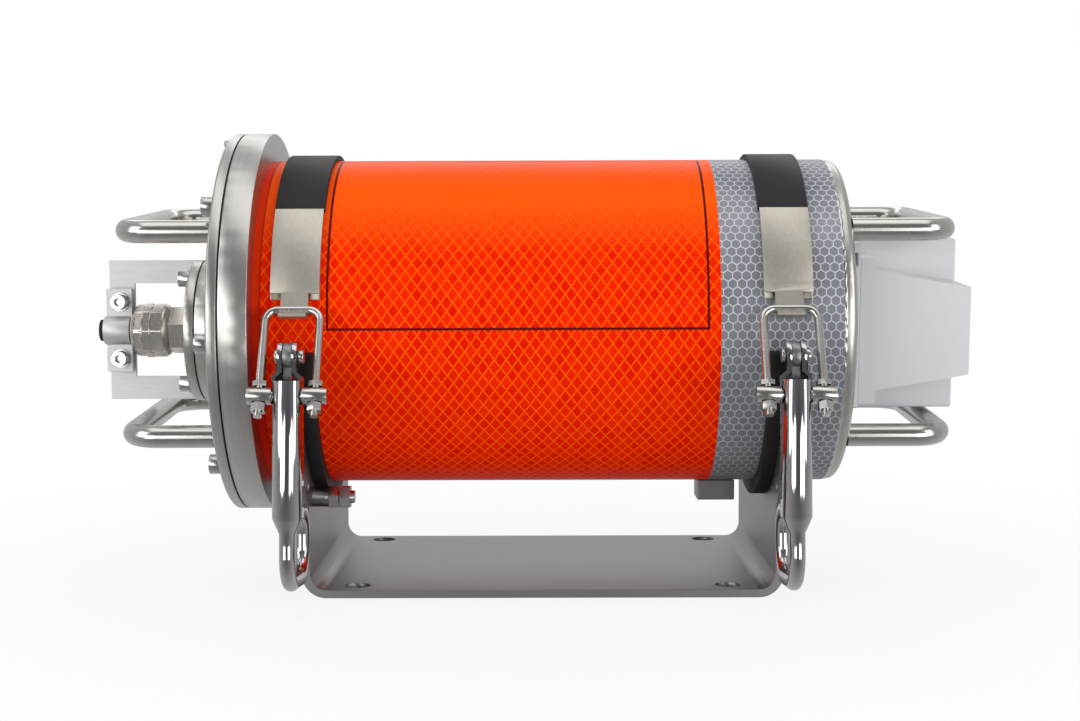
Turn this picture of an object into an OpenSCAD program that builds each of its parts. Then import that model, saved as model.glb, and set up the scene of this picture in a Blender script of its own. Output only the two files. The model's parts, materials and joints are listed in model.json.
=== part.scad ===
// Protective capsule of a ship's voyage recorder, lying in its U-shaped mounting bracket.
// Origin: centre of the bracket's four bolt holes, on the underside of the base.
// +X runs along the capsule towards the beacon, -Y is the side with the latches, +Z is up.

/* [Capsule] */
// Outer radius of the steel shell
shell_r = 103; // [101:0.5:103]
// Wall of the steel shell
shell_wall = 6; // [4:0.5:8]
// Thickness of the reflective tape
tape_t = 0.5; // [0.3:0.1:0.5]
// Right face of the body flange
flange_x = -171; // [-172:0.5:-170]
// Outer radius of the body flange and the cover
flange_r = 121; // [118:0.5:124]
// Thickness of the body flange
flange_t = 17; // [16:0.5:18]
// Thickness of the cover plate
cover_t = 6.5; // [5:0.5:7]
// Where the orange tape ends and the silver tape begins
tape_split_x = 106; // [80:1:130]
// Where the silver tape ends
shell_end_x = 179; // [178:0.5:180]
// Thickness of the welded end cap
end_cap_t = 8; // [7:0.5:10]
// Turn of the capsule about its own axis in the bracket, in degrees
capsule_roll = 4.5; // [0:0.5:8]

/* [Handles] */
// Diameter of the handle rod
handle_d = 14; // [12:0.5:14]
// How far a handle stands out from its face
handle_reach = 66; // [60:1:70]
// Half the distance between the two legs of a handle
handle_span = 70; // [65:1:72]
// Height of a handle's plane above or below the axis
handle_z = 63; // [62:0.5:66]

/* [Cable entry] */
// How far the cable entry sits below the capsule's axis
gland_drop = 5.5; // [0:0.5:8]
// Radius of the cable entry's boss and flange
gland_flange_r = 45.5; // [44:0.5:47]
// Width across the flats of the gland's hexagons
gland_af = 36; // [34:0.5:36]
// Radius of the cable that the entry takes
cable_r = 5; // [4:0.5:6]

/* [Beacon housing] */
// How far the housing stands out from the end cap
housing_reach = 75; // [72:1:77]
// Height of the box that holds the beacon
housing_h = 108; // [100:1:108]
// Diameter of the beacon
beacon_d = 33; // [30:0.5:34]
// Length of the beacon
beacon_l = 92; // [80:1:96]

/* [Bracket] */
// Height of the capsule's axis above the underside of the base
axis_h = 167; // [165:1:175]
// Depth of the base, from front to back
base_depth = 200; // [190:1:200]
// How far the capsule's axis is in front of the bolt pattern's centre
axis_forward = 25; // [24:0.5:26]
// Distance from the middle of the bracket to the middle of each upright
upright_x = 145; // [144:0.5:146]
// Thickness of the bracket plate
plate_t = 5; // [4.5:0.5:5]
// Spacing of the bolt holes along the capsule
bolt_dx = 230; // [220:1:232]
// Spacing of the bolt holes across the capsule
bolt_dy = 170; // [160:1:172]
// Diameter of the bolt holes
bolt_d = 16; // [14:0.5:16]

/* [Straps and latches] */
// Width of a strap
strap_w = 30; // [28:0.5:30]
// Angle above the horizontal where the sleeve ends and the catch plate shows
sleeve_end = 41; // [38:1:44]
// Diameter of the bail rod
bail_d = 5; // [4.5:0.5:5]
// Lean of the lever's foot towards the front, in degrees
lever_tilt = 5; // [3:0.5:6]
// Length of the lever's channel
channel_l = 78; // [74:1:80]

/* [Hidden] */
$fn = 64;
tape_r = shell_r + tape_t;
skin_gap = 0.02;                       // bond line under the tape
inner_r = shell_r - shell_wall;
gasket_t = 1;
gasket_x = flange_x - flange_t - gasket_t;
cover_x = gasket_x - cover_t;          // outer face of the cover
cap_x = shell_end_x + end_cap_t;       // outer face of the end cap
rear_edge = base_depth / 2 + axis_forward;   // rear edge of the bracket, from the axis
front_edge = rear_edge - base_depth;

// cover fasteners
cover_screw_count = 8;
cover_pcd_r = 111;
screw_gap = 0.1;

// cable entry, along -X from the cover
boss_x = cover_x - 22;
gland_gasket_x = boss_x - 0.8;
gland_flange_x = gland_gasket_x - 6;
adapter_x = gland_flange_x - 16.5;
oring_x = adapter_x - 1.8;
body_x = oring_x - 7.5;
nut_hex_x = body_x - 7.5;
nut_x = nut_hex_x - 8.5;
saddle_x = nut_x - 1.2;                // right side of the clamp saddle
saddle_l = 17;
clamp_y = 7.2;                         // front face of the cable bracket
clamp_plate_t = 3;
gland_screw_y = 20;
gland_screw_z = 33.5;
clamp_screw_z = 18.4;

// bracket, measured from the capsule's axis in Y and Z
pad_in_r = tape_r + 0.1;
pad_out_r = 112.5;
cradle_r = 108.5;
pad_w = 22;
bend_in_r = 10;
lug_r = 8;
hinge_y = rear_edge - lug_r;
hinge_z = 4;
lever_y = -132;
lever_z = -15.3;
pin_r = 2.5;
hinge_pin_r = 3;
run_gap = 0.05;                        // radial clearance of a running fit
earth_y = -56;
earth_z = -107;

// strap, catch and bail
sleeve_in = tape_r + 0.3;
sleeve_out = sleeve_in + 3.3;
band_in = sleeve_in + 0.8;
band_out = band_in + 1.2;
catch_in = band_out + 0.05;
catch_out = catch_in + 2.2;
catch_low = 9.5;                       // angle where the catch plate narrows to its tab
tab_w = 16;
hook_r = 112;                          // distance of the bail's cross rod from the axis
hook_angle = 5.5;
hook_y = -hook_r * cos(hook_angle);
hook_z = hook_r * sin(hook_angle);
hook_gap = 0.5;
hook_t = 2.2;
lip_slope = 17;
lip_l = 5.5;
bail_half = 16;
bail_bend = 7;
sleeve_rear = 158;
fork_end = 170;

// lever, in its own frame: origin on the pivot, +Z along the lever, -Y to the front
channel_r = 8.5;
channel_wall = 2;
channel_y = -5;
channel_top = -14;
channel_back = 7;
trunnion_z = -22.5;
cone_l = 9;
rod_r = 4.5;
ring_w = 60;
ring_h = 42;
ring_corner = 18;
barrel_r = 5;
barrel_l = 14;
journal_r = 3;
trunnion_y_axis = lever_y + channel_y * cos(lever_tilt) + trunnion_z * sin(lever_tilt);
trunnion_z_axis = lever_z - channel_y * sin(lever_tilt) + trunnion_z * cos(lever_tilt);
bail_dy = hook_y - trunnion_y_axis;
bail_dz = hook_z - trunnion_z_axis;
bail_l = sqrt(bail_dy * bail_dy + bail_dz * bail_dz);
bail_angle = atan2(bail_dz, bail_dy);
bail_tail = 13;

// ---------- placing ----------

// puts the capsule's axis at y = 0, z = 0
module on_axis() {
    translate([0, -axis_forward, axis_h]) children();
}

// the capsule's own frame, turned about its axis
module on_capsule() {
    on_axis() rotate([capsule_roll, 0, 0]) children();
}

module on_gland() {
    on_axis() translate([0, 0, -gland_drop]) children();
}

// one latch: side is -1 on the left and 1 on the right
module on_side(side) {
    on_axis() translate([side * upright_x, 0, 0]) children();
}

module on_lever(side) {
    on_side(side) translate([0, lever_y, lever_z]) rotate([-lever_tilt, 0, 0]) children();
}

// legs along +X, span along Y, from the trunnion's axis
module on_bail(side) {
    on_side(side)
        translate([0, trunnion_y_axis, trunnion_z_axis])
            rotate([bail_angle, 0, 0]) rotate([0, 0, 90]) children();
}

// ---------- shared shapes ----------

// cylinder along X from x1 to x2
module rod_x(r, x1, x2) {
    translate([x1, 0, 0]) rotate([0, 90, 0]) cylinder(r = r, h = x2 - x1);
}

// cylinder along Y from y1 to y2
module rod_y(r, y1, y2) {
    translate([0, y1, 0]) rotate([-90, 0, 0]) cylinder(r = r, h = y2 - y1);
}

module tube_x(r_out, r_in, x1, x2) {
    difference() {
        rod_x(r_out, x1, x2);
        rod_x(r_in, x1 - 1, x2 + 1);
    }
}

module hex_x(af, x1, x2, turn = 0) {
    rotate([turn, 0, 0]) translate([x1, 0, 0]) rotate([0, 90, 0])
        cylinder(d = af / cos(30), h = x2 - x1, $fn = 6);
}

module box(x1, x2, y1, y2, z1, z2) {
    translate([x1, y1, z1]) cube([x2 - x1, y2 - y1, z2 - z1]);
}

// outline in the YZ plane, made solid from x1 to x2
module along_x(x1, x2) {
    translate([x1, 0, 0]) rotate([90, 0, 90]) linear_extrude(height = x2 - x1) children();
}

// curved band about X; angles rise from the front horizontal over the top to the rear
module arc_band(r_in, r_out, w, from, to) {
    rotate([-90 - to, 0, 0]) rotate([0, 90, 0])
        rotate_extrude(angle = to - from, $fn = 128)
            translate([r_in, -w / 2]) square([r_out - r_in, w]);
}

// quarter bend of a round rod in the XY plane, centred on the origin
module rod_bend(r, bend) {
    rotate_extrude(angle = 90) translate([bend, 0]) circle(r = r);
}

// U-shaped rod in the XY plane: legs along +X from x = start
module u_rod(r, bend, half, start, reach) {
    for (s = [-1, 1])
        translate([0, s * half, 0]) rod_x(r, start, reach - bend);
    translate([reach, 0, 0]) rod_y(r, -(half - bend), half - bend);
    translate([reach - bend, half - bend, 0]) rod_bend(r, bend);
    translate([reach - bend, -(half - bend), 0]) rotate([0, 0, -90]) rod_bend(r, bend);
}

// socket head cap screw along X, with its head towards -X and its bearing face at x = 0
module cap_screw_x(head_r, head_h, shank_r, shank_l, key_r) {
    difference() {
        rod_x(head_r, -head_h, 0);
        translate([-head_h - 1, 0, 0]) rotate([0, 90, 0])
            cylinder(r = key_r, h = head_h * 0.55 + 1, $fn = 6);
    }
    rod_x(shank_r, 0, shank_l);
}

module ring_of_screws(count, r) {
    for (i = [0 : count - 1])
        rotate([i * 360 / count, 0, 0]) translate([0, r, 0]) children();
}

// ---------- capsule ----------

module shell_tube() {
    color("silver") on_axis() tube_x(shell_r, inner_r, flange_x, shell_end_x);
}

module end_cap() {
    edge = 5;
    color("silver") on_axis() translate([shell_end_x, 0, 0]) rotate([0, 90, 0])
        rotate_extrude($fn = 128) {
            square([shell_r, end_cap_t - edge]);
            square([shell_r - edge, end_cap_t]);
            translate([shell_r - edge, end_cap_t - edge]) intersection() {
                circle(r = edge);
                square(edge);
            }
        }
}

module body_flange() {
    color("lightgray") on_capsule() difference() {
        tube_x(flange_r, inner_r, flange_x - flange_t, flange_x);
        ring_of_screws(cover_screw_count, cover_pcd_r) rod_x(4, flange_x - flange_t - 1, flange_x - 4);
    }
}

module flange_gasket() {
    color("black") on_capsule() difference() {
        tube_x(flange_r - 1, inner_r, gasket_x, gasket_x + gasket_t);
        ring_of_screws(cover_screw_count, cover_pcd_r) rod_x(4.5, gasket_x - 1, gasket_x + gasket_t + 1);
    }
}

module cover_plate() {
    chamfer = 1;
    color("lightgray") on_capsule() difference() {
        union() {
            rod_x(flange_r, cover_x + chamfer, gasket_x);
            translate([cover_x, 0, 0]) rotate([0, 90, 0])
                cylinder(r1 = flange_r - chamfer, r2 = flange_r, h = chamfer);
        }
        ring_of_screws(cover_screw_count, cover_pcd_r) rod_x(4.5, cover_x - 1, gasket_x + 1);
        rotate([-capsule_roll, 0, 0]) translate([0, 0, -gland_drop]) rod_x(10, cover_x - 1, gasket_x + 1);
    }
}

module cover_screws() {
    color("silver") on_capsule()
        ring_of_screws(cover_screw_count, cover_pcd_r)
            translate([cover_x, 0, 0]) cap_screw_x(6, 7.5, 4 - screw_gap, 18, 3.2);
}

module orange_tape() {
    color("orangered") on_axis() tube_x(tape_r, shell_r + skin_gap, flange_x, tape_split_x);
}

module silver_tape() {
    color("gainsboro") on_axis() tube_x(tape_r, shell_r + skin_gap, tape_split_x, shell_end_x);
}

// end is -1 on the cover and 1 on the end cap, level is 1 for the upper handle and -1 for the lower
module handle(end, level) {
    r = handle_d / 2;
    face = end < 0 ? -cover_x : cap_x;
    color("silver") on_capsule() translate([0, 0, level * handle_z]) mirror([end < 0 ? 1 : 0, 0, 0])
        u_rod(r, 18, handle_span, face, face + handle_reach - r);
}

module locating_lug() {
    color("gray") on_axis() difference() {
        box(100, 124, -12, 12, -116, -90);
        rod_x(tape_r + 0.05, 99, 125);
    }
}

// ---------- inside the capsule ----------

module front_insulation() {
    color("ivory") on_axis() difference() {
        rod_x(inner_r - 0.5, flange_x + 4, -106);
        translate([0, 0, -gland_drop]) rod_x(10, flange_x, -100);
    }
}

module insulation_liner() {
    color("ivory") on_axis() tube_x(inner_r - 0.5, 62, -106, 118);
}

module rear_insulation() {
    color("ivory") on_axis() rod_x(inner_r - 0.5, 118, shell_end_x - 1);
}

module heat_block() {
    color("khaki") on_axis() tube_x(61.5, 43, -105, 117);
}

module memory_vessel() {
    color("dimgray") on_axis() difference() {
        rod_x(42.5, -70, 90);
        rod_x(36, -71, 84);
    }
}

module vessel_lid() {
    color("gray") on_axis() difference() {
        union() {
            rod_x(42.5, -78, -70);
            rod_x(35.8, -70, -62);
        }
        translate([0, 0, -gland_drop]) rod_x(6, -79, -61);
    }
}

module memory_boards() {
    color("seagreen") on_axis() for (z = [-14, 14]) {
        box(-50, 76, -26, 26, z - 0.8, z + 0.8);
        for (x = [-36, -4, 28]) box(x, x + 22, -16, 16, z + 0.8, z + 6);
    }
}

// ---------- cable entry ----------

module gland_screw_holes(r, x1, x2) {
    for (y = [-1, 1], z = [-1, 1])
        translate([0, y * gland_screw_y, z * gland_screw_z]) rod_x(r, x1, x2);
}

module gland_boss() {
    color("lightgray") on_gland() difference() {
        rod_x(gland_flange_r, boss_x, cover_x);
        rod_x(10, boss_x - 1, cover_x + 1);
        gland_screw_holes(3, boss_x - 1, boss_x + 16);
    }
}

module gland_gasket() {
    color("black") on_gland() difference() {
        rod_x(gland_flange_r - 0.6, gland_gasket_x, boss_x);
        rod_x(14, gland_gasket_x - 1, boss_x + 1);
        gland_screw_holes(3.3, gland_gasket_x - 1, boss_x + 1);
    }
}

module gland_flange() {
    color("lightgray") on_gland() difference() {
        rod_x(gland_flange_r, gland_flange_x, gland_gasket_x);
        rod_x(13, gland_flange_x - 1, gland_gasket_x + 1);
        gland_screw_holes(3.3, gland_flange_x - 1, gland_gasket_x + 1);
    }
}

// the two far screws also hold the feet of the cable bracket
module gland_screws() {
    washer_t = 1.4;
    color("silver") on_gland() for (y = [-1, 1], z = [-1, 1])
        translate([gland_flange_x - (y > 0 ? clamp_plate_t : 0), y * gland_screw_y, z * gland_screw_z]) {
            tube_x(6, 3.2, -washer_t, 0);
            translate([-washer_t, 0, 0]) cap_screw_x(5, 6, 3 - screw_gap, 20, 2.6);
        }
}

module gland_adapter() {
    color("tan") on_gland() difference() {
        union() {
            hex_x(27, adapter_x, gland_flange_x, 14);
            rod_x(13 - screw_gap, gland_flange_x - 1, gland_gasket_x);
        }
        rod_x(8, adapter_x - 1, gland_gasket_x + 1);
    }
}

module gland_oring() {
    color("black") on_gland() tube_x(15.5, 8.5, oring_x, adapter_x);
}

module gland_body() {
    color("tan") on_gland() difference() {
        union() {
            intersection() {
                hex_x(gland_af, body_x, oring_x, 0);
                rod_x(gland_af / 2 + 1.6, body_x, oring_x);
            }
            rod_x(14.5, body_x - 6, body_x);
        }
        rod_x(8, body_x - 7, oring_x + 1);
    }
}

module gland_nut() {
    color("tan") on_gland() difference() {
        union() {
            intersection() {
                hex_x(gland_af, nut_hex_x, body_x, 0);
                rod_x(gland_af / 2 + 1.6, nut_hex_x, body_x);
            }
            translate([nut_x, 0, 0]) rotate([0, 90, 0]) rotate_extrude() {
                square([14, nut_hex_x - nut_x]);
                translate([14, 3.5]) square([3.5, nut_hex_x - nut_x - 3.5]);
                translate([14, 3.5]) intersection() {
                    circle(r = 3.5);
                    translate([0, -3.5]) square(3.5);
                }
            }
        }
        rod_x(14.6, nut_hex_x + 0.5, body_x + 1);
        rod_x(9.5, nut_x - 1, nut_hex_x + 1);
    }
}

module gland_seal() {
    color("black") on_gland() tube_x(9.4, cable_r, nut_x - 0.6, nut_hex_x + 0.3);
}

// C-shaped plate with two feet under the far screws of the gland flange
module cable_bracket() {
    back = clamp_y + clamp_plate_t;
    left = saddle_x - saddle_l + 1;
    top = 45.5;
    bar = 15;
    color("lightgray") on_gland() difference() {
        union() {
            box(left, saddle_x + 0.5, clamp_y, back, -top, top);
            for (s = [-1, 1]) {
                box(left, gland_flange_x, clamp_y, back, s > 0 ? top - bar : -top, s > 0 ? top : bar - top);
                box(gland_flange_x - clamp_plate_t, gland_flange_x, clamp_y, 27,
                    s > 0 ? 26 : -40, s > 0 ? 40 : -26);
            }
        }
        for (z = [-1, 1]) {
            translate([saddle_x - saddle_l / 2 + 1, 0, z * clamp_screw_z]) rod_y(3.2, clamp_y - 1, back + 1);
            translate([0, gland_screw_y, z * gland_screw_z])
                rod_x(3.3, gland_flange_x - clamp_plate_t - 1, gland_flange_x + 1);
        }
    }
}

module clamp_saddle() {
    mid = saddle_x - saddle_l / 2;
    color("lightgray") on_gland() difference() {
        union() {
            rod_x(9.2, saddle_x - saddle_l, saddle_x);
            box(saddle_x - saddle_l + 0.5, saddle_x, 0, 2, -27, 27);
        }
        rod_x(7.1, saddle_x - saddle_l - 1, saddle_x + 1);
        box(saddle_x - saddle_l - 1, saddle_x + 1, 2, 12, -12, 12);
        for (z = [-1, 1]) translate([mid + 1, 0, z * clamp_screw_z]) rod_y(3.2, -1, 3);
    }
}

module clamp_screws() {
    color("silver") on_gland() for (z = [-1, 1])
        translate([saddle_x - saddle_l / 2 + 1, -1, z * clamp_screw_z]) rotate([0, 0, 90]) {
            cap_screw_x(5, 6, 3 - screw_gap, 19, 2.6);
            tube_x(6.2, 3.2, 0, 1);
        }
}

// one nut between saddle and plate, one behind the plate
module clamp_nuts() {
    color("silver") on_gland() for (z = [-1, 1], y = [2, clamp_y + clamp_plate_t])
        translate([saddle_x - saddle_l / 2 + 1, y, z * clamp_screw_z]) rotate([0, 0, 90]) difference() {
            hex_x(10, 0, 5, 0);
            rod_x(3.1, -1, 6);
        }
}

module cable_bush() {
    color("black") on_gland() tube_x(7, cable_r, saddle_x - saddle_l - 3, saddle_x + 0.4);
}

// ---------- beacon housing ----------

// plate on the end cap, with a tie slot at each front corner
module housing_base() {
    color("whitesmoke") on_capsule() difference() {
        box(cap_x, cap_x + 8, -62, 62, -48, 54);
        for (y = [-63, 49]) box(cap_x + 2.5, cap_x + 6, y, y + 14, 40, 48);
    }
}

module housing_box() {
    wall = 3;
    half = 22;
    color("white") on_capsule() difference() {
        box(cap_x + 8, cap_x + housing_reach, -half, half, -housing_h / 2, housing_h / 2);
        box(cap_x + 8 + wall, cap_x + housing_reach - wall, -half + wall, half - wall,
            -housing_h / 2 + wall, housing_h / 2 - wall);
    }
}

// tapered shield in front of the box, hollow towards the box
module housing_cheek() {
    wall = 3;
    root = cap_x + 8;
    step = cap_x + 18;
    tip = cap_x + housing_reach + 0.5;
    color("white") on_capsule() difference() {
        rotate([90, 0, 0]) translate([0, 0, 22.2]) linear_extrude(height = 39.8)
            polygon([[root, -45], [step, -45], [step, -37], [tip, -27], [tip, 27], [step, 37],
                [step, 45], [root, 45]]);
        rotate([90, 0, 0]) translate([0, 0, 21]) linear_extrude(height = 41 - wall)
            polygon([[root + wall, -40], [step - wall, -40], [step, -33.5], [tip - wall, -24],
                [tip - wall, 24], [step, 33.5], [step - wall, 40], [root + wall, 40]]);
    }
}

module beacon() {
    x = cap_x + 8 + (housing_reach - 8) / 2;
    color("silver") on_capsule() translate([x, 0, -beacon_l / 2]) cylinder(d = beacon_d, h = beacon_l);
}

module beacon_switch() {
    x = cap_x + 8 + (housing_reach - 8) / 2;
    color("dimgray") on_capsule() translate([x, 0, beacon_l / 2]) {
        cylinder(r = 9, h = 2);
        cylinder(r = 3, h = 4.5);
    }
}

// ---------- bracket ----------

// folded U of plate, seen along Y
module u_section() {
    out_r = bend_in_r + plate_t;
    half = upright_x + plate_t / 2;
    top = hinge_z + lug_r + 1;
    difference() {
        union() {
            translate([-half, -axis_h + out_r]) square([2 * half, axis_h + top - out_r]);
            translate([-half + out_r, -axis_h]) square([2 * (half - out_r), out_r]);
            for (s = [-1, 1]) translate([s * (half - out_r), -axis_h + out_r]) circle(r = out_r);
        }
        translate([-half + plate_t, -axis_h + out_r])
            square([2 * (half - plate_t), axis_h + top - out_r + 1]);
        translate([-half + out_r, -axis_h + plate_t]) square([2 * (half - out_r), out_r]);
        for (s = [-1, 1]) translate([s * (half - out_r), -axis_h + out_r]) circle(r = bend_in_r);
    }
}

// outline of an upright without its two lugs, seen along X
module upright_outline() {
    flare = -187;                      // sum of y and z along the flared front edge
    polygon([
        [front_edge, -axis_h], [front_edge, flare - front_edge], [-121, flare + 121],
        [lever_y - 4, lever_z - 14], [lever_y - 6, lever_z - 1], [lever_y - 1, lever_z + 6],
        [-100, -14], [100, -14], [hinge_y - 6, hinge_z + 2], [hinge_y + 5, hinge_z + 3],
        [rear_edge, hinge_z - 4], [rear_edge, -axis_h]
    ]);
}

// round lug of an upright, or its pin hole when it is longer than the plate
module across_upright(side, y, z, r, over = 0) {
    mid = side * upright_x;
    half = plate_t / 2 + over;
    translate([0, y, z]) rod_x(r, mid - half, mid + half);
}

module bracket_frame() {
    reach = upright_x + plate_t;
    color("gray") on_axis() difference() {
        union() {
            intersection() {
                translate([0, rear_edge + 1, 0]) rotate([90, 0, 0])
                    linear_extrude(height = rear_edge + 2 - lever_y + lug_r) u_section();
                along_x(-reach, reach) upright_outline();
            }
            for (side = [-1, 1]) {
                across_upright(side, lever_y, lever_z, lug_r);
                across_upright(side, hinge_y, hinge_z, lug_r);
            }
        }
        rotate([0, 90, 0]) cylinder(r = cradle_r, h = 2 * reach + 2, center = true, $fn = 128);
        for (side = [-1, 1]) {
            across_upright(side, lever_y, lever_z, pin_r, 1);
            across_upright(side, hinge_y, hinge_z, hinge_pin_r, 1);
            across_upright(side, -78, -98, 4, 1);
        }
        for (x = [-1, 1], y = [-1, 1])
            translate([x * bolt_dx / 2, axis_forward + y * bolt_dy / 2, -axis_h - 1])
                cylinder(d = bolt_d, h = plate_t + 2);
        across_upright(-1, earth_y, earth_z, 4, 1);
    }
}

module saddle_pads() {
    color("black") for (side = [-1, 1]) on_side(side) difference() {
        arc_band(pad_in_r, pad_out_r, pad_w, -172, -8);
        arc_band(cradle_r, pad_out_r + 1, plate_t, -180, 0);
    }
}

// earthing bolt through the left upright, with a spacer and two nuts
module earth_bolt() {
    out = -upright_x - plate_t / 2;
    inn = -upright_x + plate_t / 2;
    color("silver") on_axis() translate([0, earth_y, earth_z]) {
        hex_x(13, out - 5.3, out, 30);
        rod_x(4 - screw_gap, out, inn + 26);
        tube_x(6.2, 4.1, inn, inn + 10);
        for (x = [10, 17]) difference() {
            hex_x(13, inn + x, inn + x + 6.5, x + 10);
            rod_x(4.1, inn + x - 1, inn + x + 8);
        }
    }
}

module lever_pins() {
    color("silver") for (side = [-1, 1]) on_side(side) translate([0, lever_y, lever_z]) {
        rod_x(pin_r, -6, 6);
        rod_x(4, -7.8, -5.8);
        rod_x(4, 5.8, 9);
    }
}

module hinge_pins() {
    color("silver") for (side = [-1, 1]) on_side(side) translate([0, hinge_y, hinge_z]) {
        rod_x(hinge_pin_r, -8, 8);
        rod_x(4.8, -9.8, -7.8);
        rod_x(4.8, 7.8, 9.8);
    }
}

// ---------- straps ----------

module strap_sleeve(side) {
    color("#3a3438") on_side(side) difference() {
        arc_band(sleeve_in, sleeve_out, strap_w, sleeve_end, sleeve_rear);
        arc_band(band_in - 0.02, band_out + 0.02, strap_w - 4, sleeve_end - 1, sleeve_rear + 1);
    }
}

module strap_band(side) {
    color("silver") on_side(side)
        arc_band(band_in, band_out, strap_w - 4.4, catch_low + 2, fork_end);
}

// stretch of a ring about the origin in the YZ plane, angles as in arc_band
module ring_stretch(r_in, r_out, from, to) {
    far = 2 * r_out;
    intersection() {
        difference() {
            circle(r = r_out, $fn = 128);
            circle(r = r_in, $fn = 128);
        }
        polygon([[0, 0], [-far * cos(from), far * sin(from)], [-far * cos(to), far * sin(to)]]);
    }
}

// points along an arc about the origin
function arc_points(r, from, to, steps) =
    [for (i = [0 : steps]) let (a = from + (to - from) * i / steps) [r * cos(a), r * sin(a)]];

// point of the catch plate at a radius and an angle, from the hook's centre
function from_hook(r, angle) = [-r * cos(angle) - hook_y, r * sin(angle) - hook_z];

// outline of the catch plate's tab and hook; the hook opens to the front under the bail's cross rod
module hook_outline() {
    lip_in = bail_d / 2 + hook_gap;
    lip_out = lip_in + hook_t;
    end = -90 - lip_slope;             // where the bend runs out into the lip
    along = [sin(end), -cos(end)] * lip_l;
    joint = catch_low + 2.5;
    inset = 0.15;
    translate([hook_y, hook_z]) polygon(concat(
        [from_hook(catch_out - inset, joint), [lip_in, 2.5]],
        arc_points(lip_in, 0, end, 14),
        [lip_in * [cos(end), sin(end)] + along, lip_out * [cos(end), sin(end)] + along],
        arc_points(lip_out, end, 0, 14),
        [[lip_out, 2.5], from_hook(catch_in + inset, joint)]
    ));
}

// plate on the strap's front end, with notched corners, folded sides and a hook
module catch_plate(side) {
    half = strap_w / 2 - 0.5;
    low = catch_low + 1.5;
    high = sleeve_end - 0.2;
    color("#A39C8E") on_side(side) {
        along_x(-half, half) ring_stretch(catch_in, catch_out, low, high);
        along_x(-tab_w / 2, tab_w / 2) hook_outline();
        for (s = [0, 1]) mirror([s, 0, 0]) {
            along_x(half - 1, half - 0.1)
                ring_stretch(sleeve_in + 0.2, catch_in + 0.5, catch_low - 0.5, high - 0.3);
            along_x(half - 6, half - 0.5)
                ring_stretch(sleeve_in + 0.3, band_in - 0.1, catch_low - 0.3, catch_low + 3);
        }
    }
}

// fork on the strap's rear end, turning on the hinge pin
module strap_fork(side) {
    ear_in = plate_t / 2 + 0.3;
    ear_out = ear_in + 3;
    color("silver") on_side(side) difference() {
        union() {
            arc_band(catch_in, catch_out, strap_w - 6, sleeve_rear + 0.5, fork_end + 2);
            for (s = [-1, 1]) {
                x1 = s > 0 ? ear_in : -ear_out;
                x2 = s > 0 ? ear_out : -ear_in;
                translate([0, hinge_y, hinge_z]) rod_x(7.2, x1, x2);
                along_x(x1, x2) polygon([
                    [hinge_y - 4, hinge_z + 6], [hinge_y - 13, hinge_z + 36],
                    [hinge_y - 15.5, hinge_z + 36], [hinge_y - 10.5, hinge_z + 10], [hinge_y - 6.6, hinge_z - 2]
                ]);
            }
        }
        translate([0, hinge_y, hinge_z]) rod_x(hinge_pin_r + run_gap, -20, 20);
        rod_x(catch_in, -20, 20);
    }
}

// ---------- latches ----------

module channel_profile() {
    inner = channel_r - channel_wall;
    difference() {
        union() {
            circle(r = channel_r);
            translate([-channel_r, 0]) square([2 * channel_r, channel_back]);
        }
        circle(r = inner);
        translate([-inner, 0]) square([2 * inner, 2 * channel_r]);
    }
}

// closed finger ring in the lever's YZ plane, from the foot of the cone
module finger_ring() {
    foot = channel_top - channel_l - cone_l;
    near = channel_y;
    far = near + ring_w;
    top = foot + 12;
    low = top - ring_h;
    c = ring_corner;
    translate([0, near, low + c]) cylinder(r = rod_r, h = foot - low - c + 1);
    translate([0, far, low + c]) cylinder(r = rod_r, h = ring_h - 2 * c);
    translate([0, 0, low]) rod_y(rod_r, near + c, far - c);
    translate([0, 0, top]) rod_y(rod_r, near + 4, far - c);
    translate([0, far - c, top - c]) ring_bend(0);
    translate([0, far - c, low + c]) ring_bend(1);
    translate([0, near + c, low + c]) ring_bend(2);
}

// quarter bend in the YZ plane: 0 up and back, 1 down and back, 2 down and front
module ring_bend(place) {
    turn = [0, -90, 180][place];
    rotate([turn, 0, 0]) rotate([90, 0, 90]) rod_bend(rod_r, ring_corner);
}

module lever(side) {
    ear_in = plate_t / 2 + 0.3;
    ear_out = ear_in + 2.7;
    ear_r = 8.5;
    foot = channel_top - channel_l;
    color("silver") on_lever(side) difference() {
        union() {
            translate([0, channel_y, foot]) linear_extrude(height = channel_l) channel_profile();
            for (s = [0, 1]) mirror([s, 0, 0]) {
                rod_x(ear_r, ear_in, ear_out);
                translate([0, 3, 0]) rotate([90, 0, 0]) linear_extrude(height = 11) polygon([
                    [ear_in, 0], [ear_out, 0], [ear_out, -8.2], [channel_r, -11.5],
                    [channel_r, channel_top], [channel_r - channel_wall, channel_top],
                    [channel_r - channel_wall, -12.4], [ear_in, -9]
                ]);
            }
            translate([0, channel_y, foot - cone_l]) cylinder(r1 = rod_r, r2 = channel_r, h = cone_l);
            finger_ring();
        }
        rod_x(pin_r + run_gap, -12, 12);
        translate([0, channel_y, trunnion_z]) rod_x(journal_r + run_gap, -12, 12);
    }
}

module bail(side) {
    color("silver") on_bail(side) u_rod(bail_d / 2, bail_bend, bail_half, -bail_tail, bail_l);
}

// barrel blocks on the bail's legs, each with a journal in the lever's side wall
module barrels(side) {
    start = channel_r + 0.3;
    color("silver") on_bail(side) for (s = [0, 1]) mirror([0, s, 0]) difference() {
        union() {
            rod_y(barrel_r, start, start + barrel_l);
            rod_y(journal_r, channel_r - channel_wall - 1.6, start);
            rod_y(journal_r + 0.8, channel_r - channel_wall - 2.6, channel_r - channel_wall - 1.5);
        }
        translate([0, bail_half, 0]) rod_x(bail_d / 2, -10, 10);
    }
}

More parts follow.
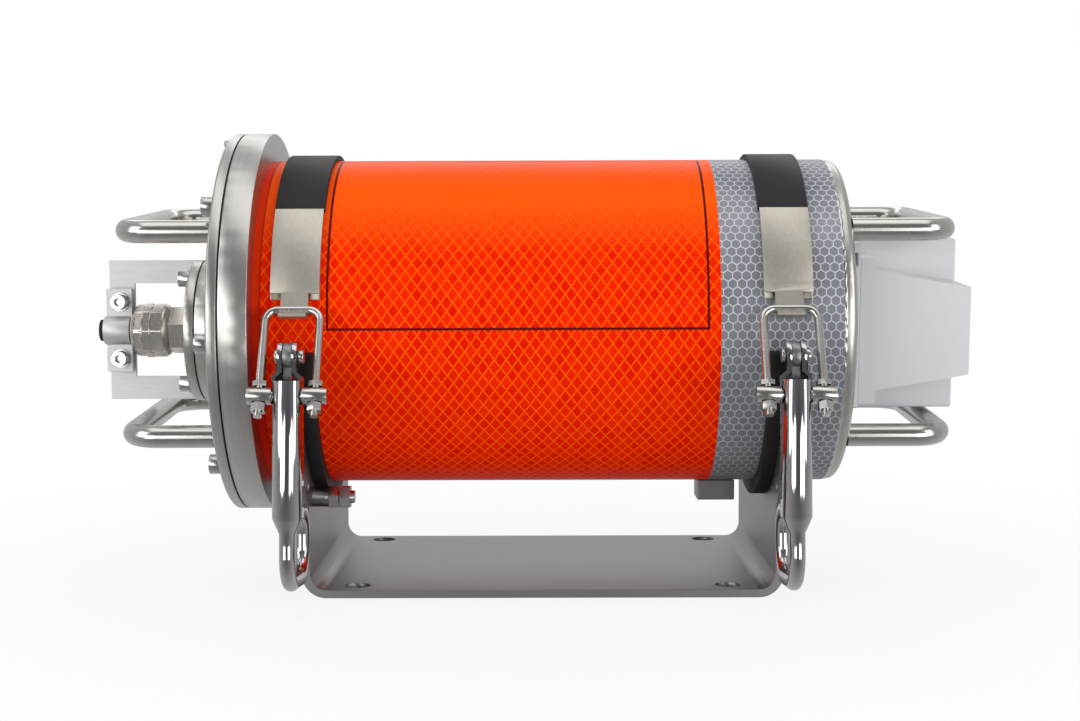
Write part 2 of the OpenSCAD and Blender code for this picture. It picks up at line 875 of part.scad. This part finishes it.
module bail_nuts(side) {
    color("silver") on_bail(side) for (s = [-1, 1]) translate([0, s * bail_half, 0]) {
        for (x = [[-barrel_r - 5, -barrel_r - 0.2], [barrel_r + 0.4, barrel_r + 3.6]]) difference() {
            hex_x(8, x[0], x[1]);
            rod_x(bail_d / 2, x[0] - 1, x[1] + 1);
        }
    }
}

// ---------- assembly ----------

shell_tube();
end_cap();
body_flange();
flange_gasket();
cover_plate();
cover_screws();
orange_tape();
silver_tape();
handle(-1, 1);  // cover_handle_upper
handle(-1, -1);  // cover_handle_lower
handle(1, 1);  // end_handle_upper
handle(1, -1);  // end_handle_lower
locating_lug();
front_insulation();
insulation_liner();
rear_insulation();
heat_block();
memory_vessel();
vessel_lid();
memory_boards();
gland_boss();
gland_gasket();
gland_flange();
gland_screws();
gland_adapter();
gland_oring();
gland_body();
gland_nut();
gland_seal();
cable_bracket();
clamp_saddle();
clamp_screws();
clamp_nuts();
cable_bush();
housing_base();
housing_box();
housing_cheek();
beacon();
beacon_switch();
bracket_frame();
saddle_pads();
earth_bolt();
lever_pins();
hinge_pins();
strap_sleeve(-1);  // left_strap_sleeve
strap_band(-1);  // left_strap_band
catch_plate(-1);  // left_catch_plate
strap_fork(-1);  // left_strap_fork
lever(-1);  // left_lever
bail(-1);  // left_bail
barrels(-1);  // left_barrels
bail_nuts(-1);  // left_bail_nuts
strap_sleeve(1);  // right_strap_sleeve
strap_band(1);  // right_strap_band
catch_plate(1);  // right_catch_plate
strap_fork(1);  // right_strap_fork
lever(1);  // right_lever
bail(1);  // right_bail
barrels(1);  // right_barrels
bail_nuts(1);  // right_bail_nuts
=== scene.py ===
"""Looks, light and camera for a ship's voyage recorder capsule in its bracket."""
import json
import math

import bpy
import bmesh
from mathutils import Matrix, Vector

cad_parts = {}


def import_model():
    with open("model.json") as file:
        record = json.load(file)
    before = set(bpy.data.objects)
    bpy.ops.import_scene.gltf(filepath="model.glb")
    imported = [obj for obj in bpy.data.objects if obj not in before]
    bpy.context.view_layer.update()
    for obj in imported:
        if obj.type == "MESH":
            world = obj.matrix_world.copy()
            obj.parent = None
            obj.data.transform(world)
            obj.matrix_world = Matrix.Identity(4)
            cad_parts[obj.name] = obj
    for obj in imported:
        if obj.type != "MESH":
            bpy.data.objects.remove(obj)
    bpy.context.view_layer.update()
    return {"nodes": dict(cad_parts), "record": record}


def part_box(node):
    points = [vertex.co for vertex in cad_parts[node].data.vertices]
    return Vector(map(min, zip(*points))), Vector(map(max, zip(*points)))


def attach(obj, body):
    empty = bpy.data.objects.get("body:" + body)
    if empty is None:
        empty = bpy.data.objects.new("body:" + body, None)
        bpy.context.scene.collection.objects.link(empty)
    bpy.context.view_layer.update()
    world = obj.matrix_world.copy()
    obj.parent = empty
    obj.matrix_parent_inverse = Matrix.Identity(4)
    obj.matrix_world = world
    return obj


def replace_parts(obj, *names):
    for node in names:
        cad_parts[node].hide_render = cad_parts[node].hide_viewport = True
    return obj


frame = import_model()

MM = 0.001
AXIS_Y, AXIS_Z = -0.025, 0.167      # the capsule's axis, along X
SHELL_R = 0.1035                    # outside of the reflective tape


# ---------- node shorthand ----------

class Graph:
    """One material and short calls for its nodes."""

    def __init__(self, name, colour, metallic, roughness):
        self.mat = bpy.data.materials.new(name)
        self.mat.use_nodes = True
        self.mat.diffuse_color = (*colour, 1)
        self.nodes = self.mat.node_tree.nodes
        self.links = self.mat.node_tree.links
        self.bsdf = self.nodes["Principled BSDF"]
        self.set("Base Color", colour)
        self.set("Metallic", metallic)
        self.set("Roughness", roughness)
        self.place = self.nodes.new("ShaderNodeTexCoord").outputs["Object"]

    def put(self, socket, value):
        """Link a socket to another node's output, or give it a constant."""
        if isinstance(value, bpy.types.NodeSocket):
            self.links.new(value, socket)
        elif isinstance(value, tuple) and len(value) == 3 and socket.type == "RGBA":
            socket.default_value = (*value, 1)
        else:
            socket.default_value = value

    def set(self, name, value):
        self.put(self.bsdf.inputs[name], value)

    def math(self, op, a, b=None):
        n = self.nodes.new("ShaderNodeMath")
        n.operation = op
        self.put(n.inputs[0], a)
        if b is not None:
            self.put(n.inputs[1], b)
        return n.outputs[0]

    def split(self, vector):
        n = self.nodes.new("ShaderNodeSeparateXYZ")
        self.put(n.inputs[0], vector)
        return n.outputs[0], n.outputs[1], n.outputs[2]

    def join(self, x, y, z=0.0):
        n = self.nodes.new("ShaderNodeCombineXYZ")
        for socket, value in zip(n.inputs, (x, y, z)):
            self.put(socket, value)
        return n.outputs[0]

    def noise(self, vector, scale, detail=2.0, rough=0.5):
        n = self.nodes.new("ShaderNodeTexNoise")
        self.put(n.inputs["Vector"], vector)
        n.inputs["Scale"].default_value = scale
        n.inputs["Detail"].default_value = detail
        n.inputs["Roughness"].default_value = rough
        return n.outputs[0]

    def remap(self, value, a, b, c, d):
        """Map a..b to c..d and hold the ends."""
        n = self.nodes.new("ShaderNodeMapRange")
        self.put(n.inputs[0], value)
        for i, v in enumerate((a, b, c, d)):
            n.inputs[i + 1].default_value = v
        return n.outputs[0]

    def mix(self, factor, a, b):
        n = self.nodes.new("ShaderNodeMix")
        n.data_type = "RGBA"
        self.put(n.inputs[0], factor)
        self.put(n.inputs[6], a)
        self.put(n.inputs[7], b)
        return n.outputs[2]

    def stretch(self, scales):
        n = self.nodes.new("ShaderNodeMapping")
        self.put(n.inputs["Vector"], self.place)
        n.inputs["Scale"].default_value = scales
        return n.outputs[0]

    def bump(self, height, strength, distance):
        """Add a bump on top of the ones already there."""
        n = self.nodes.new("ShaderNodeBump")
        n.inputs["Strength"].default_value = strength
        n.inputs["Distance"].default_value = distance
        self.put(n.inputs["Height"], height)
        old = self.bsdf.inputs["Normal"].links
        if old:
            self.put(n.inputs["Normal"], old[0].from_socket)
        self.put(self.bsdf.inputs["Normal"], n.outputs[0])

    def axis_place(self):
        """Distance along the capsule's axis, from it, and the angle round it from the front."""
        x, y, z = self.split(self.place)
        y = self.math("SUBTRACT", y, AXIS_Y)
        z = self.math("SUBTRACT", z, AXIS_Z)
        square = self.math("ADD", self.math("MULTIPLY", y, y), self.math("MULTIPLY", z, z))
        angle = self.math("ARCTAN2", z, self.math("MULTIPLY", y, -1.0))
        return x, self.math("SQRT", square), angle

    def from_middle(self, value, middle):
        return self.math("ABSOLUTE", self.math("SUBTRACT", value, middle))


# ---------- metals, plastics and rubber ----------

GRAIN_DEPTH = 0.4 * MM


def shade(tone, factor):
    return tuple(min(1.0, v * factor) for v in tone)


def metal(name, tone, rough, spread, grain, bump, turned=False, marks=0.0):
    """Metal with a grain; grain is the stretch of its noise, or turned round the capsule's axis."""
    g = Graph(name, tone, 1.0, rough)
    if turned:
        place = g.join(*(g.math("MULTIPLY", part, by) for part, by in zip(g.axis_place(), grain)))
    else:
        place = g.stretch(grain)
    fine = g.noise(place, 1.0, 3.0, 0.6)
    wide = g.noise(g.place, 18.0, 3.0, 0.55)
    blotch = 0.25 if turned else 0.6
    uneven = g.math("ADD", fine, g.math("MULTIPLY", wide, blotch))
    g.set("Roughness", g.remap(uneven, 0.30, 0.60 + blotch, rough - spread, rough + spread))
    tint = g.mix(g.remap(fine, 0.3, 0.7, 0.0, 1.0), shade(tone, 0.93), shade(tone, 1.04))
    if marks:
        spots = g.remap(g.noise(g.place, 210.0, 4.0, 0.7), 0.68, 0.76, 0.0, marks)
        tint = g.mix(spots, tint, shade(tone, 0.45))
    g.set("Base Color", tint)
    g.bump(fine, bump, GRAIN_DEPTH)
    return g


def matt(name, tone, rough, scale, bump, spread):
    """Plastic, rubber or board: uneven tone and a fine moulded grain."""
    g = Graph(name, tone, 0.0, rough)
    wide = g.noise(g.place, 14.0, 4.0, 0.6)
    fine = g.noise(g.place, scale, 3.0, 0.6)
    g.set("Base Color", g.mix(g.remap(wide, 0.3, 0.7, 0.0, 1.0),
                              shade(tone, 1 - spread), shade(tone, 1 + spread / 2)))
    g.set("Roughness", g.remap(wide, 0.3, 0.7, rough - 0.07, rough + 0.07))
    g.bump(fine, bump, GRAIN_DEPTH)
    return g


# ---------- reflective tapes ----------

def film(g):
    """Clear face film of a reflective tape."""
    g.set("Coat Weight", 0.03)
    g.set("Coat Roughness", 0.15)
    g.set("Specular IOR Level", 0.02)
    sag = g.noise(g.place, 9.0, 2.0)
    g.bump(sag, 0.25, 2 * MM)


LINE_RISE = 0.3 * MM                # bump distance of the sealed lines, which stand above the cells

DIAMOND_W, DIAMOND_H = 7 * MM, 9.7 * MM
TAPE_SEAM_X = -166.4 * MM           # right of here the lattice starts
RULE_LEFT, RULE_RIGHT = -126.5 * MM, 98.5 * MM
RULE_LOW, RULE_HIGH = -1 * MM, 145.5 * MM        # along the curve, from the front of the capsule


def diamonds(g, x, s):
    """1 on the lines of the diamond lattice, and a random value for each of its cells."""
    u = g.math("DIVIDE", x, DIAMOND_W)
    v = g.math("DIVIDE", s, DIAMOND_H)
    near = []
    cells = []
    for way in ("ADD", "SUBTRACT"):
        along = g.math(way, u, v)
        near.append(g.math("SUBTRACT", 0.5, g.from_middle(g.math("FRACT", along), 0.5)))
        cells.append(g.math("FLOOR", along))
    pick = g.nodes.new("ShaderNodeTexWhiteNoise")
    g.put(pick.inputs["Vector"], g.join(*cells))
    return g.remap(g.math("MINIMUM", *near), 0.045, 0.105, 1.0, 0.0), pick.outputs["Value"]


def sealed_edge(g, x, face):
    """Plain edge beside the flange, with a dark seam where the lattice starts."""
    edge = g.remap(x, TAPE_SEAM_X - 0.4 * MM, TAPE_SEAM_X + 0.4 * MM, 1.0, 0.0)
    face = g.mix(edge, face, (0.60, 0.030, 0.002))
    seam = g.remap(g.from_middle(x, TAPE_SEAM_X), 0.2 * MM, 0.6 * MM, 0.75, 0.0)
    return g.mix(seam, face, (0.10, 0.01, 0.004))


def ruled_frame(g, x, s, face):
    """Thin black frame, empty inside."""
    across = g.from_middle(x, (RULE_LEFT + RULE_RIGHT) / 2)
    along = g.from_middle(s, (RULE_LOW + RULE_HIGH) / 2)
    dx = g.math("SUBTRACT", across, (RULE_RIGHT - RULE_LEFT) / 2)
    ds = g.math("SUBTRACT", along, (RULE_HIGH - RULE_LOW) / 2)
    off = g.math("ABSOLUTE", g.math("MAXIMUM", dx, ds))
    return g.mix(g.remap(off, 0.6 * MM, 0.9 * MM, 1.0, 0.0), face, (0.012, 0.008, 0.008))


def orange_sheeting():
    """Prismatic sheeting: bright diamond lines over darker cells, with an empty ruled frame."""
    g = Graph("orange_reflective_tape", (0.9, 0.08, 0.005), 0.0, 0.38)
    x, _, angle = g.axis_place()
    s = g.math("MULTIPLY", angle, SHELL_R)
    line, chance = diamonds(g, x, s)
    cell = g.mix(chance, (0.74, 0.010, 0.0), (0.88, 0.024, 0.0))
    pattern = g.mix(line, cell, (0.98, 0.105, 0.001))
    # painted light: the pattern is washed out to plain bright orange where the sheeting faces up, as
    # under the light from above
    painted_top_wash = g.remap(g.math("SINE", angle), 0.42, 0.72, 1.0, 0.04)
    face = g.mix(painted_top_wash, (0.96, 0.100, 0.0), pattern)
    face = sealed_edge(g, x, face)
    g.set("Base Color", ruled_frame(g, x, s, face))
    g.set("Roughness", g.remap(line, 0.0, 1.0, 0.30, 0.42))
    # painted glow: a faint red self-glow that shines with no lamp on it, standing in for the
    # fluorescent pigment
    g.set("Emission Color", (1.0, 0.0, 0.0))     # fluorescent pigment
    g.set("Emission Strength", 0.10)
    film(g)
    g.bump(line, 0.35, LINE_RISE)
    return g


HEXAGON_W, HEXAGON_H = 5.5 * MM, 5.85 * MM       # pitch along the axis and scale round it
ROOT3 = math.sqrt(3)


def silver_sheeting():
    """Honeycomb sheeting: pale sealed lines round grey cells."""
    g = Graph("silver_reflective_tape", (0.2, 0.21, 0.24), 0.0, 0.4)
    x, _, angle = g.axis_place()
    u = g.math("DIVIDE", x, HEXAGON_W)
    v = g.math("DIVIDE", g.math("MULTIPLY", angle, SHELL_R), HEXAGON_H)
    # two offset grids; the nearer middle gives the distance within a hexagon
    found = []
    for shift in (0.0, 0.5):
        a = g.from_middle(g.math("FLOORED_MODULO", g.math("ADD", u, shift), 1.0), 0.5)
        b = g.from_middle(g.math("FLOORED_MODULO", g.math("ADD", v, shift * ROOT3), ROOT3), ROOT3 / 2)
        slope = g.math("ADD", g.math("MULTIPLY", a, 0.5), g.math("MULTIPLY", b, ROOT3 / 2))
        found.append(g.math("MAXIMUM", a, slope))
    line = g.remap(g.math("MINIMUM", *found), 0.425, 0.465, 0.0, 1.0)
    cloud = g.remap(g.noise(g.place, 30.0, 3.0), 0.3, 0.7, 0.0, 1.0)
    cell = g.mix(cloud, (0.205, 0.215, 0.242), (0.285, 0.296, 0.325))
    g.set("Base Color", g.mix(line, cell, (0.60, 0.62, 0.66)))
    g.set("Metallic", 0.15)
    g.set("Roughness", g.remap(line, 0.0, 1.0, 0.32, 0.5))
    film(g)
    g.bump(line, 0.3, LINE_RISE)
    return g


# ---------- one material for each slot ----------

METALS = {                          # tone, roughness and its spread, stretch of the grain, bump
    "sheet_stainless": ((0.66, 0.665, 0.67), 0.52, 0.05, (60, 60, 700), 0.03),
    "polished_stainless": ((0.56, 0.54, 0.505), 0.21, 0.02, (40, 120, 120), 0.008),
    "mirror_stainless": ((0.50, 0.49, 0.50), 0.085, 0.01, (60, 60, 20), 0.008),
    "bright_fasteners": ((0.50, 0.49, 0.475), 0.26, 0.03, (220, 220, 220), 0.015),
    "blasted_steel": ((0.28, 0.275, 0.278), 0.40, 0.05, (1500, 1500, 1500), 0.10),
    "nickel_brass": ((0.60, 0.565, 0.52), 0.27, 0.04, (300, 60, 60), 0.015),
    "beacon_aluminium": ((0.62, 0.62, 0.63), 0.35, 0.06, (600, 600, 600), 0.08),
}
TURNED_METALS = {                   # the same; the grain is stretched along, outwards and round
    "brushed_stainless": ((0.52, 0.505, 0.475), 0.33, 0.05, (1500, 60, 0.5), 0.04),
    "vessel_steel": ((0.42, 0.42, 0.43), 0.32, 0.08, (1200, 60, 4), 0.12),
}
MATTS = {                           # tone, roughness, scale of the grain, bump, spread of the tone
    "black_rubber": ((0.016, 0.015, 0.015), 0.62, 1600.0, 0.25, 0.25),
    "strap_rubber": ((0.016, 0.0130, 0.0150), 0.55, 1300.0, 0.30, 0.18),
    "white_plastic": ((0.70, 0.71, 0.73), 0.46, 1100.0, 0.10, 0.03),
    "black_plastic": ((0.03, 0.03, 0.03), 0.42, 1400.0, 0.2, 0.2),
    "insulation_board": ((0.80, 0.77, 0.68), 0.85, 500.0, 0.6, 0.1),
    "heat_absorbing_wax": ((0.70, 0.60, 0.34), 0.5, 300.0, 0.3, 0.12),
    "circuit_board": ((0.03, 0.20, 0.09), 0.4, 900.0, 0.3, 0.3),
}

made = {name: metal(name, *values) for name, values in METALS.items()}
made.update({name: metal(name, *values, turned=True) for name, values in TURNED_METALS.items()})
made.update({name: matt(name, *values) for name, values in MATTS.items()})
made["satin_catch_steel"] = metal("satin_catch_steel", (0.55, 0.515, 0.45), 0.46, 0.03,
                                  (500, 300, 300), 0.02, marks=0.5)
made["orange_reflective_tape"] = orange_sheeting()
made["silver_reflective_tape"] = silver_sheeting()
made["sheet_stainless"].set("Metallic", 0.75)
for name in ("black_rubber", "strap_rubber"):
    made[name].set("Specular IOR Level", 0.25)

SHEET = {"cable_bracket", "clamp_saddle"}        # paler than the rest of their slot
slots = {row["node"]: row["material_slot"] for row in frame["record"]["subparts"]}
for name, obj in frame["nodes"].items():
    look = "sheet_stainless" if name in SHEET else slots[name]
    obj.data.materials.clear()
    obj.data.materials.append(made[look].mat)


# ---------- pieces that only the look model has ----------

def add_object(name, data):
    obj = bpy.data.objects.new(name, data)
    bpy.context.scene.collection.objects.link(obj)
    return obj


def skin(name, rings, material, sharp=None):
    """Smooth surface through closed rings of points; edges bent more than sharp stay crisp."""
    bm = bmesh.new()
    rows = [[bm.verts.new(point) for point in ring] for ring in rings]
    for a, b in zip(rows, rows[1:]):
        for i in range(len(a)):
            j = (i + 1) % len(a)
            bm.faces.new((a[i], a[j], b[j], b[i]))
    bmesh.ops.recalc_face_normals(bm, faces=bm.faces)
    mesh = bpy.data.meshes.new(name)
    bm.to_mesh(mesh)
    bm.free()
    mesh.polygons.foreach_set("use_smooth", [True] * len(mesh.polygons))
    if sharp:
        mesh.set_sharp_from_angle(angle=sharp)
    mesh.materials.append(made[material].mat)
    obj = add_object(name, mesh)
    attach(obj, "root")
    return obj


def turn_angles(count):
    return [2 * math.pi * i / count for i in range(count)]


def bead_ripple(angle):
    """Height of the weld's ripples, from 0 to 1; strongest a little above the front."""
    ripples, drift, drift_by, peak = 72, 17, 0.6, 0.17
    strong = 0.25 + 0.75 * max(0.0, math.cos(angle - peak)) ** 3
    return strong * (0.5 + 0.5 * math.sin(angle * ripples + drift_by * math.sin(angle * drift)))


def weld_bead():
    """Rippled bead between the shell and its end cap."""
    around, across = 900, 10
    centre_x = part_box("end_cap")[0].x
    centre_r = 101.1 * MM
    bead_r = 2.2 * MM
    ripple_h, ripple_lean = 0.42 * MM, 0.5 * MM
    rings = []
    for j in range(across + 1):
        turn = math.pi * j / across
        ring = []
        for angle in turn_angles(around):
            ripple = bead_ripple(angle)
            r = centre_r + (bead_r + ripple_h * ripple) * math.sin(turn)
            x = centre_x - bead_r * math.cos(turn) + ripple_lean * ripple * math.sin(turn)
            ring.append((x, AXIS_Y - r * math.cos(angle), AXIS_Z + r * math.sin(angle)))
        rings.append(ring)
    skin("weld_bead", rings, "polished_stainless")


ROUND, FLATS, RIBS = 0, 1, 2        # how a step of the gland is finished


def gland_radius(radius, finish, angle):
    """Radius in mm of a round, eight-sided or ribbed step."""
    if finish == ROUND:
        return radius
    half = math.radians(22.5)
    r = min(0.99 * radius, radius * math.cos(half) / math.cos(angle % (2 * half) - half))
    if finish == RIBS:
        ribs, rib_depth = 64, 0.16
        r = min(r, radius * 0.975) - rib_depth * (0.5 + 0.5 * math.cos(angle * ribs))
    return r


def gland_piece(name, nodes, steps):
    """A piece turned about the gland's axis; a step is mm from its left end, radius in mm, finish."""
    lo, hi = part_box(nodes[0])
    mid_y, mid_z = (lo.y + hi.y) / 2, (lo.z + hi.z) / 2
    rings = []
    for at, radius, finish in steps:
        ring = []
        for angle in turn_angles(320):
            r = gland_radius(radius, finish, angle) * MM
            ring.append((lo.x + at * MM, mid_y - r * math.cos(angle), mid_z + r * math.sin(angle)))
        rings.append(ring)
    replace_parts(skin(name, rings, "nickel_brass", sharp=math.radians(24)), *nodes)


weld_bead()
gland_piece("gland_dome_nut", ["gland_nut"], [
    (0, 9.6, ROUND), (0, 11.4, ROUND), (0.5, 12.9, ROUND), (1.4, 14.5, ROUND), (2.4, 15.6, ROUND),
    (3.4, 16.4, ROUND), (3.5, 17.0, RIBS), (8.2, 17.3, RIBS), (8.3, 16.7, ROUND), (8.9, 16.7, ROUND),
    (9.0, 17.8, FLATS), (13.2, 17.8, FLATS), (13.3, 16.6, ROUND), (13.8, 16.6, ROUND),
    (13.9, 17.4, FLATS), (16, 17.4, FLATS), (16, 9.6, ROUND),
])
gland_piece("gland_barrel", ["gland_body", "gland_oring"], [
    (1, 9.6, ROUND), (1, 12, ROUND), (6, 12, ROUND), (6, 17.4, FLATS), (11.4, 17.4, FLATS),
    (11.5, 16.9, ROUND), (12.6, 16.6, ROUND), (13.6, 15.9, ROUND), (14.5, 14.9, ROUND),
    (15.2, 13.6, ROUND), (15.3, 9.6, ROUND),
])


# ---------- broken edges on the CAD pieces ----------

EDGES = {                           # width in mm of the rounded edge
    "housing_box": 1.4, "housing_base": 1.2, "bracket_frame": 0.5, "cable_bracket": 0.4,
    "clamp_saddle": 0.3, "body_flange": 0.4, "cover_plate": 0.3, "gland_boss": 0.4,
    "gland_flange": 0.4, "gland_adapter": 0.4, "cover_screws": 0.5, "gland_screws": 0.5,
    "clamp_screws": 0.4, "clamp_nuts": 0.4, "earth_bolt": 0.4, "lever_pins": 0.5, "hinge_pins": 0.5,
    "locating_lug": 0.8, "saddle_pads": 0.6, "cable_bush": 0.4, "beacon_switch": 0.3,
}
LATCH_EDGES = {                     # the same, once for each side
    "lever": 0.35, "barrels": 0.5, "bail_nuts": 0.3,
    "catch_plate": 0.3, "strap_fork": 0.3, "strap_sleeve": 0.6,
}


def break_edges(obj, width):
    """Clean the mesh first, so that the bevel only meets true edges."""
    weld = obj.modifiers.new("join", "WELD")
    weld.merge_threshold = 2e-6
    flat = obj.modifiers.new("flat", "DECIMATE")
    flat.decimate_type = "DISSOLVE"
    flat.angle_limit = math.radians(0.3)
    edge = obj.modifiers.new("edge", "BEVEL")
    edge.limit_method = "ANGLE"
    edge.angle_limit = math.radians(38)
    edge.width = width
    edge.segments = 2
    edge.harden_normals = True
    edge.use_clamp_overlap = True


for side in ("left", "right"):
    EDGES.update({f"{side}_{part}": width for part, width in LATCH_EDGES.items()})
for name, width in EDGES.items():
    break_edges(frame["nodes"][name], width * MM)


# ---------- floor, light and camera ----------

def floor():
    """White floor, mostly see-through, that fades out round the object."""
    mesh = bpy.data.meshes.new("floor")
    bm = bmesh.new()
    bmesh.ops.create_circle(bm, cap_ends=True, segments=96, radius=1.6)
    bm.to_mesh(mesh)
    bm.free()
    obj = add_object("floor", mesh)
    obj.location.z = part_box("bracket_frame")[0].z - 0.3 * MM
    g = matt("floor_paint", (0.88, 0.88, 0.88), 0.8, 60.0, 0.02, 0.01)
    g.set("Specular IOR Level", 0.1)
    x, y, _ = g.split(g.place)
    away = g.math("SQRT", g.math("ADD", g.math("MULTIPLY", x, x), g.math("MULTIPLY", y, y)))
    g.set("Alpha", g.remap(away, 0.22, 0.70, 0.13, 0.0))
    mesh.materials.append(g.mat)


AIM = Vector((0, 0, 0.15))          # every light points here


def area(name, place, size, power):
    light = bpy.data.lights.new(name, "AREA")
    light.shape = "RECTANGLE"
    light.size, light.size_y = size
    light.energy = power
    obj = add_object(name, light)
    obj.location = place
    obj.rotation_euler = (AIM - Vector(place)).to_track_quat("-Z", "Y").to_euler()


def world():
    """White to the camera; for everything else pale at the back, darker towards the front."""
    w = bpy.data.worlds.new("studio")
    bpy.context.scene.world = w
    w.use_nodes = True
    tree = w.node_tree
    ramp = tree.nodes.new("ShaderNodeValToRGB")
    coord = tree.nodes.new("ShaderNodeTexCoord")
    split = tree.nodes.new("ShaderNodeSeparateXYZ")
    tree.links.new(coord.outputs["Generated"], split.inputs[0])
    stretch = tree.nodes.new("ShaderNodeMapRange")
    stretch.inputs["From Min"].default_value = -1
    tree.links.new(split.outputs["Y"], stretch.inputs["Value"])
    tree.links.new(stretch.outputs[0], ramp.inputs[0])
    stops = ramp.color_ramp.elements
    stops[0].position, stops[0].color = 0.02, (0.17, 0.17, 0.18, 1)
    stops[1].position, stops[1].color = 0.75, (0.85, 0.85, 0.86, 1)
    middle = stops.new(0.30)
    middle.color = (0.50, 0.50, 0.51, 1)
    dim = tree.nodes["Background"]
    dim.inputs["Strength"].default_value = 0.70
    tree.links.new(ramp.outputs[0], dim.inputs["Color"])
    white = tree.nodes.new("ShaderNodeBackground")
    white.inputs["Color"].default_value = (1, 1, 1, 1)
    white.inputs["Strength"].default_value = 1.0
    path = tree.nodes.new("ShaderNodeLightPath")
    both = tree.nodes.new("ShaderNodeMixShader")
    tree.links.new(path.outputs["Is Camera Ray"], both.inputs[0])
    tree.links.new(dim.outputs[0], both.inputs[1])
    tree.links.new(white.outputs[0], both.inputs[2])
    tree.links.new(both.outputs[0], tree.nodes["World Output"].inputs["Surface"])


def camera():
    """View from the front, a little above the axis; the angles are in degrees."""
    yaw, pitch, roll = 0.271, -3.55, -0.186
    obj = add_object("camera", bpy.data.cameras.new("camera"))
    bpy.context.scene.camera = obj
    obj.data.lens, obj.data.sensor_width = 55.7, 36.0
    obj.data.clip_start, obj.data.clip_end = 0.01, 100
    turn = (Matrix.Rotation(math.radians(yaw), 3, "Z")
            @ Matrix.Rotation(math.radians(90 + pitch), 3, "X")
            @ Matrix.Rotation(math.radians(roll), 3, "Z"))
    obj.location = (0.0036, -1.112, 0.2084)
    obj.rotation_euler = turn.to_euler()


floor()
world()
area("top_box", (0.0, -0.35, 1.7), (2.0, 1.2), 8.5)
area("left_box", (-1.5, -0.9, 0.75), (0.7, 1.3), 8)
area("right_box", (1.5, -1.0, 0.6), (0.45, 1.2), 6)
area("left_front", (-1.25, -2.0, 0.15), (1.3, 1.1), 15)
area("right_front", (1.25, -2.0, 0.10), (1.3, 1.1), 16)
area("back_box", (0.0, 1.5, 1.3), (2.0, 0.8), 6)
camera()
bpy.context.scene.view_settings.view_transform = "Standard"
